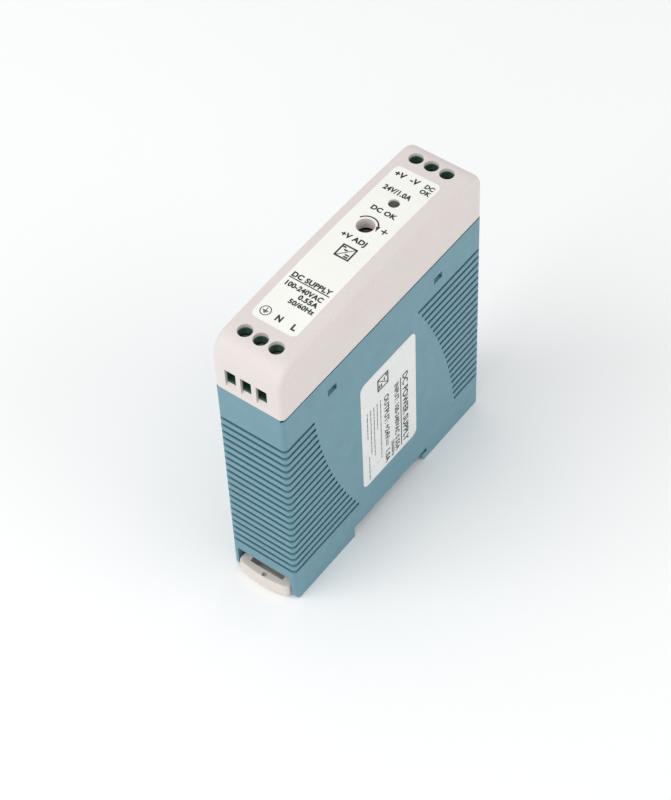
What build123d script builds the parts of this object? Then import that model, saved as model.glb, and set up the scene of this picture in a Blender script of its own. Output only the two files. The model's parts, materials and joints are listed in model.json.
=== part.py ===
from build123d import *
import math
import os

# A slim power supply that snaps onto a 35 mm top-hat rail, as an assembly of its real pieces.
#
# Everything is modelled in case coordinates, in millimetres: X across the narrow width and along
# the rail, Y up the height of the mounted case, and Z out of the wall, from 0 at the rear edge to
# DEPTH at the front face. save() moves each piece to the frame that it is stored in, whose origin
# is the middle of the rail seat.

# Case
WIDTH = 22.5
HEIGHT = 90.0
DEPTH = 100.0
SPLIT = 80.9  # seam between housing and front cover
SEAM_WIDE, SEAM_DEEP = 0.5, 1.0  # shadow gap under the cover on the broad sides
SEAM_LEAN = 0.45  # the gap's floor falls away inwards by this much
WALL = 1.6
EDGE_R = 1.3  # rounding of the housing's upright corners
COVER_R = 1.5  # rounding of the cover's corners and long edges
REAR_R = 2.5  # rounding of the two rear ends, in side view
FRONT_R = 6.3  # rounding of the two front ends, in side view
CROWN_R = 715.0  # the front face is very slightly crowned along its length

# Rail interface: a 35 mm top-hat rail with lips 1 mm thick
RAIL_WIDTH = 35.0
LIP = 1.0
SEAT = 4.1  # height of the rail seat above the rear edge
RAIL_Y = 0.5  # rail centre above the middle of the case
HOOK_BITE = 2.1  # how far the fixed hook reaches under the lip
HOOK_TOP = SEAT - LIP - 0.3
RAIL_PLAY = 0.4
RELIEF = 0.2  # the seat is relieved by this much over both hooks
CLIP_TIP = RAIL_Y - RAIL_WIDTH / 2 + 2.2  # end of the sliding hook, at rest

# Housing
FLOOR = 7.0  # inside floor
FOOT_FLOOR = 1.8  # inside floor of the foot beyond the rail
CHANNEL_HALF = 9.5  # half width of the channel that the clip slides in
CHANNEL_TOP = 5.4
MOUTH_TOP = 9.0  # top of the cut-out round the pull tab
MOUTH_DEEP = 3.4
KEEPER_TOP = 0.7  # strips that keep the clip in its channel
KEEPER_HALF = 8.5
GROOVES = 20
GROOVE_LOW, GROOVE_HIGH = 13.3, 67.6
GROOVE_WIDE, GROOVE_DEEP = 1.15, 0.85
FIELD_NEAR_TOP, FIELD_NEAR_LOW = -32.3, -14.9  # where the first and last groove end on the sides
FIELD_R = 150.0
WINDOW_Y, WINDOW_Z = 24.2, 73.6
WINDOW_LONG, WINDOW_TALL = 3.8, 2.3
LATCH_BITE = 0.5  # how far each latch's barb reaches into its window

# Front cover
POLE_PITCH = 5.08
POLE_MIDDLE = -0.4
POLE_X = [POLE_MIDDLE + POLE_PITCH * k for k in (-1, 0, 1)]
SCREW_Y = 37.6  # screw axes from the middle of the case, at both ends
SCREW_HOLE_R = 2.15
WIRE_WIDE = 3.55
WIRE_LOW, WIRE_HIGH = 82.9, 89.4  # wire openings in the end faces
WIRE_RAMP = 1.1  # the sill of each opening rises by this much through the wall
THIN_WALL = 0.85  # wall round the wire openings
POCKET_LOW, POCKET_HIGH = 83.6, 90.9  # thinned stretch of the end walls
LED_X, LED_Y, LED_HOLE_R = -0.1, 19.9, 1.6
LED_LOW, LED_SHOULDER, LED_R = 93.7, 99.1, 1.5  # the lamp's rear, the foot of its dome, its radius
DOME_R = 2.9  # radius of the dome itself
TRIM_X, TRIM_Y, TRIM_HOLE_R = -1.4, 8.9, 2.6
ROTOR_TOP, ROTOR_R = 96.2, 2.4
BOSS_LOW, LED_BOSS_LOW = 96.5, 94.6  # where the short tubes round the two holes end

# Labels
LABEL_THICK = 0.12
FRONT_LABEL_X, FRONT_LABEL_Y, FRONT_LABEL_R = 14.8, 65.2, 1.8
FRONT_LABEL_AT = -0.6  # its middle, across the width
SIDE_LABEL_Y, SIDE_LABEL_Z, SIDE_LABEL_R = 25.6, 44.9, 2.2
SIDE_LABEL_AT = (0.35, 39.5)

# Clip
CLIP_BOTTOM, CLIP_TOP = 0.35, 2.95
CLIP_HALF = 9.3
TAB_TOP = 5.0
TAB_OUT = 2.1  # how far the pull tab stands out of the case
TAB_HALF, TAB_CORNER = 8.9, 2.0
TAB_SLOT = 5.8  # half width of the slot behind the tab's bar
TAB_TOP_R, TAB_LOW_R = 0.6, 1.1  # rounding of its top and underside
CLIP_TRAVEL = 4.5
STOP_X, STOP_Y = 8.6, -40.9  # the lugs that the clip's ribs meet at full travel
SPRING_R, SPRING_WIRE, SPRING_Z = 1.65, 0.5, 3.0
SPRING_FROM, SPRING_TO = -36.0, -24.0
SPRING_TURNS = 7

# Boards
BOARD = 1.6
MAIN_X = -7.4  # solder side of the main board
MAIN_FACE = MAIN_X + BOARD
MAIN_HALF_Y = 43.0
MAIN_LOW, MAIN_HIGH = 10.8, 80.2
SHEET_X = -9.3  # insulation sheet
FRONT_Z = 82.4  # underside of the front board
FRONT_FACE = FRONT_Z + BOARD
FRONT_HALF_X, FRONT_HALF_Y = 8.3, 42.6
TAIL_X = MAIN_X - 0.9  # where leads end, past the solder side
PIN_PITCH = 2.54
LINK_Z = 79.0  # height of the pins between the boards

# Terminals: a rising cage on a captive screw
TERM_HALF_X = 7.95
TERM_OUT, TERM_IN = 43.2, 33.9
TERM_FACE = 43.95  # the wire entries stand forward into the cover's thinned wall
TERM_TOP, TERM_CHAMFER = 97.15, 3.9
COLLAR_TOP, COLLAR_R = 97.9, 2.05  # rings round the screws that stand up in the cover's holes
CAGE_X, CAGE_Y = 3.9, 3.6
CHAMBER_X, CHAMBER_TOP = 4.1, 93.25
CHAMBER_OUT, CHAMBER_IN = 40.0, 35.1
BAR_LOW, BAR_HIGH = 89.35, 89.95
CAGE_LOW, CAGE_FLOOR = 85.4, 86.2
CAGE_ROOF, CAGE_TOP = 90.0, 90.9
HEAD_LOW, HEAD_TOP = 93.65, 95.6
HEAD_R, SHANK_R = 1.65, 1.25
SLOT_WIDE, SLOT_DEEP = 0.6, 0.8

SHIFT = Pos(0, -RAIL_Y, -SEAT)
board_holes = []  # (y, z) of each lead through the main board
front_holes = []  # (x, y) of each lead through the front board


def block(x0, x1, y0, y1, z0, z1):
    """A box between two corners."""
    return Pos((x0 + x1) / 2, (y0 + y1) / 2, (z0 + z1) / 2) * Box(x1 - x0, y1 - y0, z1 - z0)


def rod_x(r, x0, x1, y, z):
    return Pos((x0 + x1) / 2, y, z) * Rot(0, 90, 0) * Cylinder(r, x1 - x0)


def rod_y(r, x, y0, y1, z):
    return Pos(x, (y0 + y1) / 2, z) * Rot(90, 0, 0) * Cylinder(r, y1 - y0)


def rod_z(r, x, y, z0, z1):
    return Pos(x, y, (z0 + z1) / 2) * Cylinder(r, z1 - z0)


def softened(box, r, axis):
    """A block with the edges along one axis rounded."""
    return fillet(box.edges().filter_by(axis), r)


def solids_of(shapes):
    """All the solids of a list of shapes."""
    return [s for shape in shapes for s in shape.solids()]


def save(name, *shapes):
    """Writes the node's solids in the row frame."""
    solids = [SHIFT * s for s in solids_of(shapes)]
    whole = solids[0] if len(solids) == 1 else Compound(children=solids)
    export_step(whole, f"parts/{name}.step")


def crown_drop(y):
    """How much lower the crowned front face is at y than at the middle."""
    return CROWN_R - math.sqrt(CROWN_R**2 - y**2)


def housing_profile():
    """The housing's outline in side view, swept across its width, with its rear ends rounded."""
    with BuildSketch(Plane.YZ) as sketch:
        with Locations((0, SPLIT / 2)):
            Rectangle(HEIGHT, SPLIT)
        fillet(sketch.vertices().sort_by(Axis.Y)[:2], REAR_R)
    return extrude(sketch.sketch, amount=WIDTH / 2 + 1, both=True)


def cover_profile(inset, low):
    """The cover's outline in side view, moved in by inset and swept across its width: straight
    ends, a crowned front and two rounded corners."""
    half, top = HEIGHT / 2 - inset, DEPTH - inset
    shoulder = top - crown_drop(half)
    with BuildSketch(Plane.YZ) as sketch:
        with BuildLine():
            ThreePointArc((-half, shoulder), (0, top), (half, shoulder))
            Polyline((half, shoulder), (half, low), (-half, low), (-half, shoulder))
        make_face()
        fillet(sketch.vertices().sort_by(Axis.Y)[-2:], FRONT_R - inset)
    return extrude(sketch.sketch, amount=WIDTH / 2 + 1, both=True)


# ---------------------------------------------------------------- shells


def groove_end(z):
    """Where a groove at height z stops on the side faces, near the lower end of the case: an arc
    that bows out from the chord between the first and last groove."""
    top = Vector(FIELD_NEAR_TOP, GROOVE_HIGH)
    low = Vector(FIELD_NEAR_LOW, GROOVE_LOW)
    middle = (top + low) * 0.5
    half = (top - low).length / 2
    along = (low - top).normalized()
    inward = Vector(-along.Y, along.X)  # towards the middle of the case
    centre = middle + inward * math.sqrt(FIELD_R**2 - half**2)
    return centre.X - math.sqrt(FIELD_R**2 - (z - centre.Y) ** 2)


def groove(z, low_end):
    """One shallow groove round an end of the case and along both side faces."""
    stop = groove_end(z) if low_end else -groove_end(GROOVE_LOW + GROOVE_HIGH - z)
    outside = RectangleRounded(WIDTH + 2, HEIGHT + 2, EDGE_R)
    inside = RectangleRounded(WIDTH - 2 * GROOVE_DEEP, HEIGHT - 2 * GROOVE_DEEP, EDGE_R - GROOVE_DEEP)
    reach = HEIGHT / 2 + 2
    kept = Pos(0, (stop - reach) / 2 if low_end else (stop + reach) / 2) * Rectangle(
        WIDTH + 4, stop + reach if low_end else reach - stop
    )
    band = (outside - inside) & kept
    return extrude(Pos(0, 0, z - GROOVE_WIDE / 2) * band, amount=GROOVE_WIDE)


def rail_notch():
    """The recess that the rail sits in: a flat seat, an open side at the clip and a hook beyond."""
    low = RAIL_Y - RAIL_WIDTH / 2 - RAIL_PLAY
    high = RAIL_Y + RAIL_WIDTH / 2 + RAIL_PLAY
    tip = RAIL_Y + RAIL_WIDTH / 2 - HOOK_BITE
    half = WIDTH / 2 + 1
    seat = block(-half, half, low, tip, -1, SEAT)
    undercut = block(-half, half, tip - 0.3, high, HOOK_TOP, SEAT + RELIEF)
    undercut += block(-half, half, low, CLIP_TIP + 0.3, HOOK_TOP, SEAT + RELIEF)
    slope = Polygon((tip, HOOK_TOP), (tip, -0.5), (tip + 1.3, -0.5), align=None)
    lead_in = extrude(Plane.YZ * slope, half, both=True)
    return seat + undercut + lead_in


def clip_channel():
    """The channel in the rear that the clip slides in, wider at the pull tab."""
    low = -HEIGHT / 2 - 1
    high = RAIL_Y - RAIL_WIDTH / 2 - RAIL_PLAY + 0.5
    slide = block(-CHANNEL_HALF, CHANNEL_HALF, low, high, KEEPER_TOP, CHANNEL_TOP)
    between = block(-KEEPER_HALF, KEEPER_HALF, low, high, -1, KEEPER_TOP + 0.1)
    mouth = block(-CHANNEL_HALF, CHANNEL_HALF, low, low + 1 + MOUTH_DEEP, -1, MOUTH_TOP)
    return slide + between + mouth


def seam_gap(side):
    """The shadow gap along one broad side, whose floor falls away inwards."""
    outer, inner = side * WIDTH / 2, side * (WIDTH / 2 - SEAM_DEEP)
    low = SPLIT - SEAM_WIDE
    outline = Polygon(
        (outer + side, low),
        (outer, low),
        (inner, low - SEAM_LEAN),
        (inner, SPLIT + 1),
        (outer + side, SPLIT + 1),
        align=None,
    )
    return extrude(Plane.XZ * outline, HEIGHT, both=True)


def housing():
    """The tub: walls, floor, board guides, the rail recess and the clip's channel."""
    body = extrude(RectangleRounded(WIDTH, HEIGHT, EDGE_R), SPLIT) & housing_profile()
    half_x, half_y = WIDTH / 2 - WALL, HEIGHT / 2 - WALL
    for side in (-1, 1):
        body -= seam_gap(side)
    body -= block(-half_x, half_x, -half_y, half_y, FLOOR, SPLIT + 1)
    hook_end = RAIL_Y + RAIL_WIDTH / 2 + RAIL_PLAY + WALL
    body -= block(-half_x, half_x, hook_end, half_y, FOOT_FLOOR, FLOOR + 1)
    body += block(-half_x, half_x, -half_y, -HEIGHT / 2 + MOUTH_DEEP + WALL, FLOOR - 1, MOUTH_TOP + WALL)
    body -= rail_notch()
    body -= clip_channel()
    body += block(-1.7, 1.7, SPRING_FROM - 1.5, SPRING_FROM, 1.2, CHANNEL_TOP + 0.2)
    for x in (STOP_X, -STOP_X):
        body += block(x - 0.7, x + 0.7, STOP_Y - 0.7, STOP_Y, CLIP_TOP + 0.15, CHANNEL_TOP + 0.2)
    body += rod_y(0.9, 0, SPRING_FROM, SPRING_FROM + 1.4, SPRING_Z)
    for end in (-1, 1):
        inner = end * (half_y + 0.1)
        y0, y1 = sorted((inner, end * (half_y - 1.5)))
        body += block(MAIN_X - 1.35, MAIN_X - 0.1, y0, y1, FLOOR, MAIN_HIGH - 3)
        body += block(MAIN_FACE + 0.1, MAIN_FACE + 1.3, y0, y1, FLOOR, MAIN_HIGH - 3)
    step = (GROOVE_HIGH - GROOVE_LOW) / (GROOVES - 1)
    cuts = [groove(GROOVE_LOW + step * k, low_end) for k in range(GROOVES) for low_end in (True, False)]
    for side in (-1, 1):
        for end in (-1, 1):
            x0, x1 = sorted((side * (half_x - 0.2), side * (WIDTH / 2 + 1)))
            y = end * WINDOW_Y
            half_y, half_z = WINDOW_LONG / 2, WINDOW_TALL / 2
            cuts.append(block(x0, x1, y - half_y, y + half_y, WINDOW_Z - half_z, WINDOW_Z + half_z))
    return body - cuts


def latch(side, end):
    """A tongue of the cover with the barb that snaps into a window of the housing."""
    inner = WIDTH / 2 - WALL
    y = end * WINDOW_Y
    x0, x1 = sorted((side * (inner - 1.25), side * (inner - 0.12)))
    tongue = block(x0, x1, y - 3.2, y + 3.2, WINDOW_Z - 2.2, SPLIT + 2)
    x0, x1 = sorted((side * (inner - 1.25), side * (inner + 0.5)))
    root = block(x0, x1, y - 3.2, y + 3.2, SPLIT + 0.02, SPLIT + 2)
    half = WINDOW_LONG / 2 - 0.25
    low, high = WINDOW_Z - WINDOW_TALL / 2 + 0.2, WINDOW_Z + WINDOW_TALL / 2 - 0.15
    root_x, toe, nose = side * (inner - 0.5), side * (inner - 0.1), side * (inner + LATCH_BITE)
    wedge = Polygon((root_x, low), (toe, low), (nose, high - 0.3), (nose, high), (root_x, high), align=None)
    barb = extrude(Plane.XZ * wedge, half, both=True)
    return tongue + root + Pos(0, y, 0) * barb


def wire_opening(end, x):
    """The hole that a wire goes in through, with a sill that slopes up inwards."""
    outside, inside = HEIGHT / 2, HEIGHT / 2 - THIN_WALL
    sill = WIRE_LOW + WIRE_RAMP
    outline = Polygon(
        (outside + 1, WIRE_LOW),
        (outside + 1, WIRE_HIGH),
        (inside - 2, WIRE_HIGH),
        (inside - 2, sill),
        (inside, sill),
        (outside, WIRE_LOW),
        align=None,
    )
    return Pos(x, 0, 0) * at_end(end, extrude(Plane.YZ * outline, WIRE_WIDE / 2, both=True))


def front_cover():
    """The cap with its screw, wire, lamp and trimmer openings, and four latches."""
    solid = cover_profile(0, SPLIT) & block(-WIDTH / 2, WIDTH / 2, -HEIGHT, HEIGHT, 0, DEPTH + 1)
    long_edges = [e for e in solid.edges() if abs(abs(e.center().X) - WIDTH / 2) < 1e-6]
    solid = fillet([e for e in long_edges if e.center().Z > SPLIT + 0.01], COVER_R)
    inner = cover_profile(WALL, SPLIT - 1)
    cover = solid - (inner & block(WALL - WIDTH / 2, WIDTH / 2 - WALL, -HEIGHT, HEIGHT, 0, DEPTH))
    cover += rod_z(TRIM_HOLE_R + 0.9, TRIM_X, TRIM_Y, BOSS_LOW, DEPTH - WALL + 0.1)
    cover += rod_z(LED_HOLE_R + 0.9, LED_X, LED_Y, LED_BOSS_LOW, DEPTH - WALL + 0.1)
    cover -= rod_z(TRIM_HOLE_R, TRIM_X, TRIM_Y, 90, DEPTH + 1)
    cover -= rod_z(LED_HOLE_R, LED_X, LED_Y, 90, DEPTH + 1)
    for end in (-1, 1):
        y0, y1 = sorted((end * (HEIGHT / 2 - WALL - 0.5), end * (HEIGHT / 2 - THIN_WALL)))
        reach = TERM_HALF_X + 0.15
        cover -= block(POLE_MIDDLE - reach, POLE_MIDDLE + reach, y0, y1, POCKET_LOW, POCKET_HIGH)
        for x in POLE_X:
            cover -= rod_z(SCREW_HOLE_R, x, end * SCREW_Y, DEPTH - WALL - 3, DEPTH + 1)
            cover -= wire_opening(end, x)
        y0, y1 = sorted((end * (HEIGHT / 2 - WALL - 0.12), end * (HEIGHT / 2 - WALL - 1.1)))
        cover += block(-3.5, 8.0, y0, y1, SPLIT - 3, SPLIT + 1)
        y0, y1 = sorted((end * (HEIGHT / 2 - WALL + 0.4), end * (HEIGHT / 2 - WALL - 1.1)))
        cover += block(-3.5, 8.0, y0, y1, SPLIT + 0.02, SPLIT + 1)
        for side in (-1, 1):
            cover += latch(side, end)
    return cover


def front_label():
    """Printed film on the front face, cut out for the lamp and the trimmer."""
    outline = RectangleRounded(FRONT_LABEL_X, FRONT_LABEL_Y, FRONT_LABEL_R)
    film = extrude(Pos(FRONT_LABEL_AT, 0, DEPTH - 3) * outline, 6)
    film &= cover_profile(-LABEL_THICK, SPLIT) - cover_profile(0, SPLIT - 1)
    film -= rod_z(LED_HOLE_R + 0.05, LED_X, LED_Y, DEPTH - 1, DEPTH + 1)
    return film - rod_z(TRIM_HOLE_R + 0.05, TRIM_X, TRIM_Y, DEPTH - 1, DEPTH + 1)


def side_label():
    """Rating plate on one broad side."""
    plane = Plane.YZ.offset(WIDTH / 2)
    plate = plane * Pos(*SIDE_LABEL_AT) * RectangleRounded(SIDE_LABEL_Y, SIDE_LABEL_Z, SIDE_LABEL_R)
    return extrude(plate, LABEL_THICK)


# ---------------------------------------------------------------- rail clip


def rail_clip():
    """The sliding foot: a flat plate with the hook at one end and the pull tab at the other."""
    tip = CLIP_TIP
    low = -HEIGHT / 2
    plate = block(-CLIP_HALF, CLIP_HALF, low + 1, tip, KEEPER_TOP + 0.15, CLIP_TOP)
    plate += block(-KEEPER_HALF + 0.2, KEEPER_HALF - 0.2, low + 1, tip, CLIP_BOTTOM, CLIP_TOP)
    under = CLIP_BOTTOM - 0.01
    nose = Polygon((tip + 0.01, under), (tip - 1.4, under), (tip + 0.01, CLIP_TOP - 0.9), align=None)
    plate -= extrude(Plane.YZ * nose, CLIP_HALF + 1, both=True)
    rib_start = STOP_Y + CLIP_TRAVEL + 0.05
    for x in (STOP_X, -STOP_X):
        plate += block(x - 0.7, x + 0.7, rib_start, SPRING_TO + 4.4, CLIP_TOP - 0.1, CHANNEL_TOP - 0.15)
    with BuildSketch() as outline:
        with BuildLine():
            back, shoulder = low + 2.6, low - TAB_OUT / 2
            ThreePointArc((-TAB_HALF, shoulder), (0, low - TAB_OUT), (TAB_HALF, shoulder))
            Polyline((TAB_HALF, shoulder), (TAB_HALF, back), (-TAB_HALF, back), (-TAB_HALF, shoulder))
        make_face()
        fillet(outline.vertices().sort_by(Axis.Y)[:2], TAB_CORNER)
    tab = extrude(Pos(0, 0, CLIP_BOTTOM) * outline.sketch, TAB_TOP - CLIP_BOTTOM)
    tab = fillet(tab.edges().filter_by_position(Axis.Z, TAB_TOP - 0.01, TAB_TOP + 0.01), TAB_TOP_R)
    low_edges = tab.edges().filter_by_position(Axis.Z, CLIP_BOTTOM - 0.01, CLIP_BOTTOM + 0.01)
    tab = fillet(low_edges.filter_by_position(Axis.Y, low - TAB_OUT - 1, low - 0.05), TAB_LOW_R)
    clip = plate + tab
    clip -= softened(block(-TAB_SLOT, TAB_SLOT, low + 0.55, low + 3.6, -1, 9), 0.4, Axis.Z)
    clip -= rod_z(0.8, 0.4, low - 0.75, TAB_TOP - 1.5, 9)
    clip -= block(-2.2, 2.2, SPRING_FROM - 1.55, SPRING_TO, CLIP_BOTTOM + 0.55, 9)
    boss = block(-2.2, 2.2, SPRING_TO, SPRING_TO + 1.6, CLIP_TOP - 0.1, CHANNEL_TOP - 0.25)
    return clip + boss + rod_y(0.9, 0, SPRING_TO - 1.4, SPRING_TO + 0.1, SPRING_Z)


def clip_spring():
    """Compression spring between the housing's post and the clip's boss."""
    length = SPRING_TO - SPRING_FROM - SPRING_WIRE - 0.1
    path = Helix(length / SPRING_TURNS, length, SPRING_R)
    start = Plane(path @ 0, z_dir=path % 0)
    coil = sweep(start * Circle(SPRING_WIRE / 2), path=path, is_frenet=True)
    return Pos(0, SPRING_FROM + SPRING_WIRE / 2 + 0.05, SPRING_Z) * Rot(-90, 0, 0) * coil


# ---------------------------------------------------------------- terminals


def at_end(end, shape):
    """Turns a piece made for the upper end of the case to the end asked for, poles in the same
    places."""
    if end > 0:
        return shape
    return mirror(shape, about=Plane.XZ)


def terminal_block(end):
    """Three-pole insulating body, open below for the cages."""
    x0, x1 = POLE_MIDDLE - TERM_HALF_X, POLE_MIDDLE + TERM_HALF_X
    body = block(x0, x1, TERM_IN, TERM_OUT, FRONT_FACE, TERM_TOP)
    outer_top = body.edges().filter_by(Axis.X).sort_by(Axis.Z)[-2:].sort_by(Axis.Y)[-1]
    body = chamfer(outer_top, TERM_CHAMFER)
    body += block(x0, x1, TERM_OUT - 0.1, TERM_FACE, FRONT_FACE, POCKET_HIGH - 0.3)
    for x in POLE_X:
        body += rod_z(COLLAR_R, x, SCREW_Y, TERM_TOP - 0.1, COLLAR_TOP)
        half = CHAMBER_X / 2
        body -= block(x - half, x + half, CHAMBER_IN, CHAMBER_OUT, FRONT_FACE - 1, CHAMBER_TOP)
        half = WIRE_WIDE / 2
        body -= block(x - half, x + half, CHAMBER_OUT - 0.1, TERM_FACE + 1, FRONT_FACE + 0.6, WIRE_HIGH)
        body -= rod_z(HEAD_R + 0.1, x, SCREW_Y, HEAD_LOW - 0.05, COLLAR_TOP + 1)
        body -= rod_z(SHANK_R + 0.1, x, SCREW_Y, CHAMBER_TOP - 0.1, HEAD_LOW)
    for x in (POLE_X[0] + POLE_PITCH / 2, POLE_X[1] + POLE_PITCH / 2):
        body -= block(x - 0.2, x + 0.2, TERM_FACE - 0.4, TERM_FACE + 1, FRONT_FACE - 1, POCKET_HIGH)
    return at_end(end, body)


def terminal_contacts(end):
    """The fixed bars that the wires are clamped against, each with its solder pin."""
    bars = []
    for x in POLE_X:
        bar = block(x - 1.2, x + 1.2, CHAMBER_IN + 0.05, CHAMBER_OUT - 0.5, BAR_LOW, BAR_HIGH)
        bar += block(x - 1.2, x + 1.2, CHAMBER_IN + 0.05, CHAMBER_IN + 0.65, FRONT_FACE + 0.3, BAR_HIGH)
        bar += block(x - 0.5, x + 0.5, CHAMBER_IN + 0.05, CHAMBER_IN + 0.65, FRONT_Z - 1, FRONT_FACE + 0.4)
        bars.append(at_end(end, bar))
        front_holes.append((x, end * (CHAMBER_IN + 0.35), 0.7))
    return bars


def terminal_cage(end, x):
    """Steel cage that rises when the screw is turned, closing on the wire from below."""
    y0, y1 = SCREW_Y - CAGE_Y / 2, SCREW_Y + CAGE_Y / 2
    cage = softened(block(x - CAGE_X / 2, x + CAGE_X / 2, y0, y1, CAGE_LOW, CAGE_TOP), 0.4, Axis.Y)
    cage -= block(x - CAGE_X / 2 + 0.5, x + CAGE_X / 2 - 0.5, y0 - 1, y1 + 1, CAGE_FLOOR, CAGE_ROOF)
    return at_end(end, cage - rod_z(SHANK_R + 0.05, x, SCREW_Y, CAGE_ROOF - 0.5, CAGE_TOP + 1))


def terminal_screw(end, x):
    """Captive screw with a slotted cheese head."""
    screw = rod_z(HEAD_R, x, SCREW_Y, HEAD_LOW, HEAD_TOP)
    screw = chamfer(screw.edges().sort_by(Axis.Z)[-1], 0.2)
    screw += rod_z(SHANK_R, x, SCREW_Y, CAGE_ROOF - 0.02, HEAD_LOW + 0.1)
    half = SLOT_WIDE / 2
    slot = block(x - half, x + half, SCREW_Y - 3, SCREW_Y + 3, HEAD_TOP - SLOT_DEEP, HEAD_TOP + 1)
    return at_end(end, screw - slot)


# ---------------------------------------------------------------- front board parts


def trimmer_body():
    """Square single-turn trimmer under the adjusting hole."""
    body = block(TRIM_X - 3.3, TRIM_X + 3.3, TRIM_Y - 3.4, TRIM_Y + 3.4, FRONT_FACE, FRONT_FACE + 4.6)
    body = softened(body, 0.4, Axis.Z)
    body -= rod_z(ROTOR_R + 0.1, TRIM_X, TRIM_Y, FRONT_FACE + 3.6, FRONT_FACE + 6)
    body -= rod_z(0.85, TRIM_X, TRIM_Y, FRONT_FACE + 1.5, FRONT_FACE + 4)
    legs = []
    for dx, dy in ((-2.5, -2.5), (2.5, -2.5), (0, 2.5)):
        legs.append(rod_z(0.3, TRIM_X + dx, TRIM_Y + dy, FRONT_Z - 0.9, FRONT_FACE))
        front_holes.append((TRIM_X + dx, TRIM_Y + dy, 0.4))
    return [body, *legs]


def trimmer_rotor():
    """The shaft that a screwdriver turns, with a cross slot."""
    rotor = rod_z(ROTOR_R, TRIM_X, TRIM_Y, FRONT_FACE + 3.65, ROTOR_TOP)
    rotor = chamfer(rotor.edges().sort_by(Axis.Z)[-1], 0.2)
    rotor += rod_z(0.8, TRIM_X, TRIM_Y, FRONT_FACE + 1.7, FRONT_FACE + 3.7)
    cross = Box(3.2, SLOT_WIDE, 2 * SLOT_DEEP) + Box(SLOT_WIDE, 3.2, 2 * SLOT_DEEP)
    return rotor - Pos(TRIM_X, TRIM_Y, ROTOR_TOP) * cross


def status_led():
    """3 mm lamp: lens and flange in one moulding."""
    lens = rod_z(LED_R, LED_X, LED_Y, LED_LOW, LED_SHOULDER)
    lens += rod_z(LED_R + 0.05, LED_X, LED_Y, LED_LOW, LED_LOW + 0.9)
    dome_z = LED_SHOULDER - math.sqrt(DOME_R**2 - LED_R**2)
    dome = Pos(LED_X, LED_Y, dome_z) * Sphere(DOME_R)
    return lens + (dome & rod_z(LED_R, LED_X, LED_Y, LED_SHOULDER - 0.1, DEPTH))


def led_leads():
    leads = []
    for dy in (-PIN_PITCH / 2, PIN_PITCH / 2):
        lead = block(LED_X - 0.25, LED_X + 0.25, -0.25, 0.25, FRONT_Z - 1, LED_LOW)
        leads.append(Pos(0, LED_Y + dy, 0) * lead)
        front_holes.append((LED_X, LED_Y + dy, 0.45))
    return leads


def led_spacer():
    spacer = rod_z(2.3, LED_X, LED_Y, FRONT_FACE, LED_LOW - 0.5)
    for dy in (-PIN_PITCH / 2, PIN_PITCH / 2):
        spacer -= rod_z(0.42, LED_X, LED_Y + dy, FRONT_FACE - 1, LED_LOW)
    return spacer


# ---------------------------------------------------------------- main board parts


def leads(points, height, r=0.4):
    """Round leads at (y, z), from a height above the main board through to its solder side."""
    board_holes.extend(points)
    return [rod_x(r, TAIL_X, MAIN_FACE + height, y, z) for y, z in points]


def bent_lead(r, start, knee, y, z):
    """A lead that leaves a lying part, bends at the knee and goes down through the board at (y, z)."""
    foot = (TAIL_X, y, z)
    path = FilletPolyline(start, knee, foot, radius=2.5 * r)
    board_holes.append((y, z))
    return sweep(Plane(path @ 0, z_dir=path % 0) * Circle(r), path=path)


def standing_can(r, height, y, z, pitch):
    """Radial can capacitor standing on the main board, with the groove of its crimp."""
    foot = MAIN_FACE + 0.3
    can = rod_x(r, foot, foot + height, y, z)
    can = fillet(can.edges().filter_by(GeomType.CIRCLE), min(0.5, r / 6))
    crimp = rod_x(r + 1, foot + 1.7, foot + 2.5, y, z) - rod_x(r - 0.3, foot + 1.5, foot + 2.7, y, z)
    return [can - crimp, *leads([(y - pitch / 2, z), (y + pitch / 2, z)], 0.3)]


def bulk_capacitor():
    """The large input capacitor, lying along the board with its leads bent down."""
    r, y0, y1, z = 7.4, -33.5, -9.5, 27.0
    x = MAIN_FACE + r + 0.3
    can = rod_y(r, x, y0, y1, z)
    can = fillet(can.edges().filter_by(GeomType.CIRCLE), 0.8)
    can -= rod_y(r + 1, x, y0 + 2, y0 + 3.2, z) - rod_y(r - 0.5, x, y0 + 1.5, y0 + 3.7, z)
    can -= block(x - 0.25, x + 0.25, y1 - 0.3, y1 + 1, z - 4.5, z + 4.5)
    can -= block(x - 4.5, x + 4.5, y1 - 0.3, y1 + 1, z - 0.25, z + 0.25)
    bent = []
    for dz in (-3.75, 3.75):
        bent.append(bent_lead(0.4, (x, y0, z + dz), (x, y0 - 3, z + dz), y0 - 3, z + dz))
    return [can, *bent]


def output_capacitors():
    cans = []
    for y, z, r, height in ((35.5, 20.0, 5.0, 14.5), (35.5, 32.5, 5.0, 14.5), (35.5, 45.0, 5.0, 14.5)):
        cans += standing_can(r, height, y, z, 5.0)
    return cans


def bias_capacitor():
    return standing_can(2.5, 11.0, 1.0, 58.5, 2.0)


def disc(y, z, r, thick, pitch):
    """Dipped disc part standing on the main board: a rounded lens with two leads."""
    x = MAIN_FACE + r + 1.4
    body = rod_y(r, x, y - thick / 2, y + thick / 2, z)
    body = fillet(body.edges().filter_by(GeomType.CIRCLE), thick * 0.42)
    legs = []
    for dz in (-pitch / 2, pitch / 2):
        reach = x - math.sqrt(max(r**2 - (pitch / 2) ** 2, 0)) * 0.9
        legs.append(rod_x(0.3, TAIL_X, reach, y, z + dz) - body)
        board_holes.append((y, z + dz))
    return [body, *legs]


def varistor():
    return disc(-38.0, 62.5, 4.6, 3.4, 5.0)


def thermistor():
    return disc(-28.5, 73.0, 4.0, 3.2, 5.0)


def safety_capacitors():
    return disc(9.0, 16.0, 3.6, 3.0, 5.0) + disc(17.5, 16.0, 3.6, 3.0, 5.0)


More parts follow.
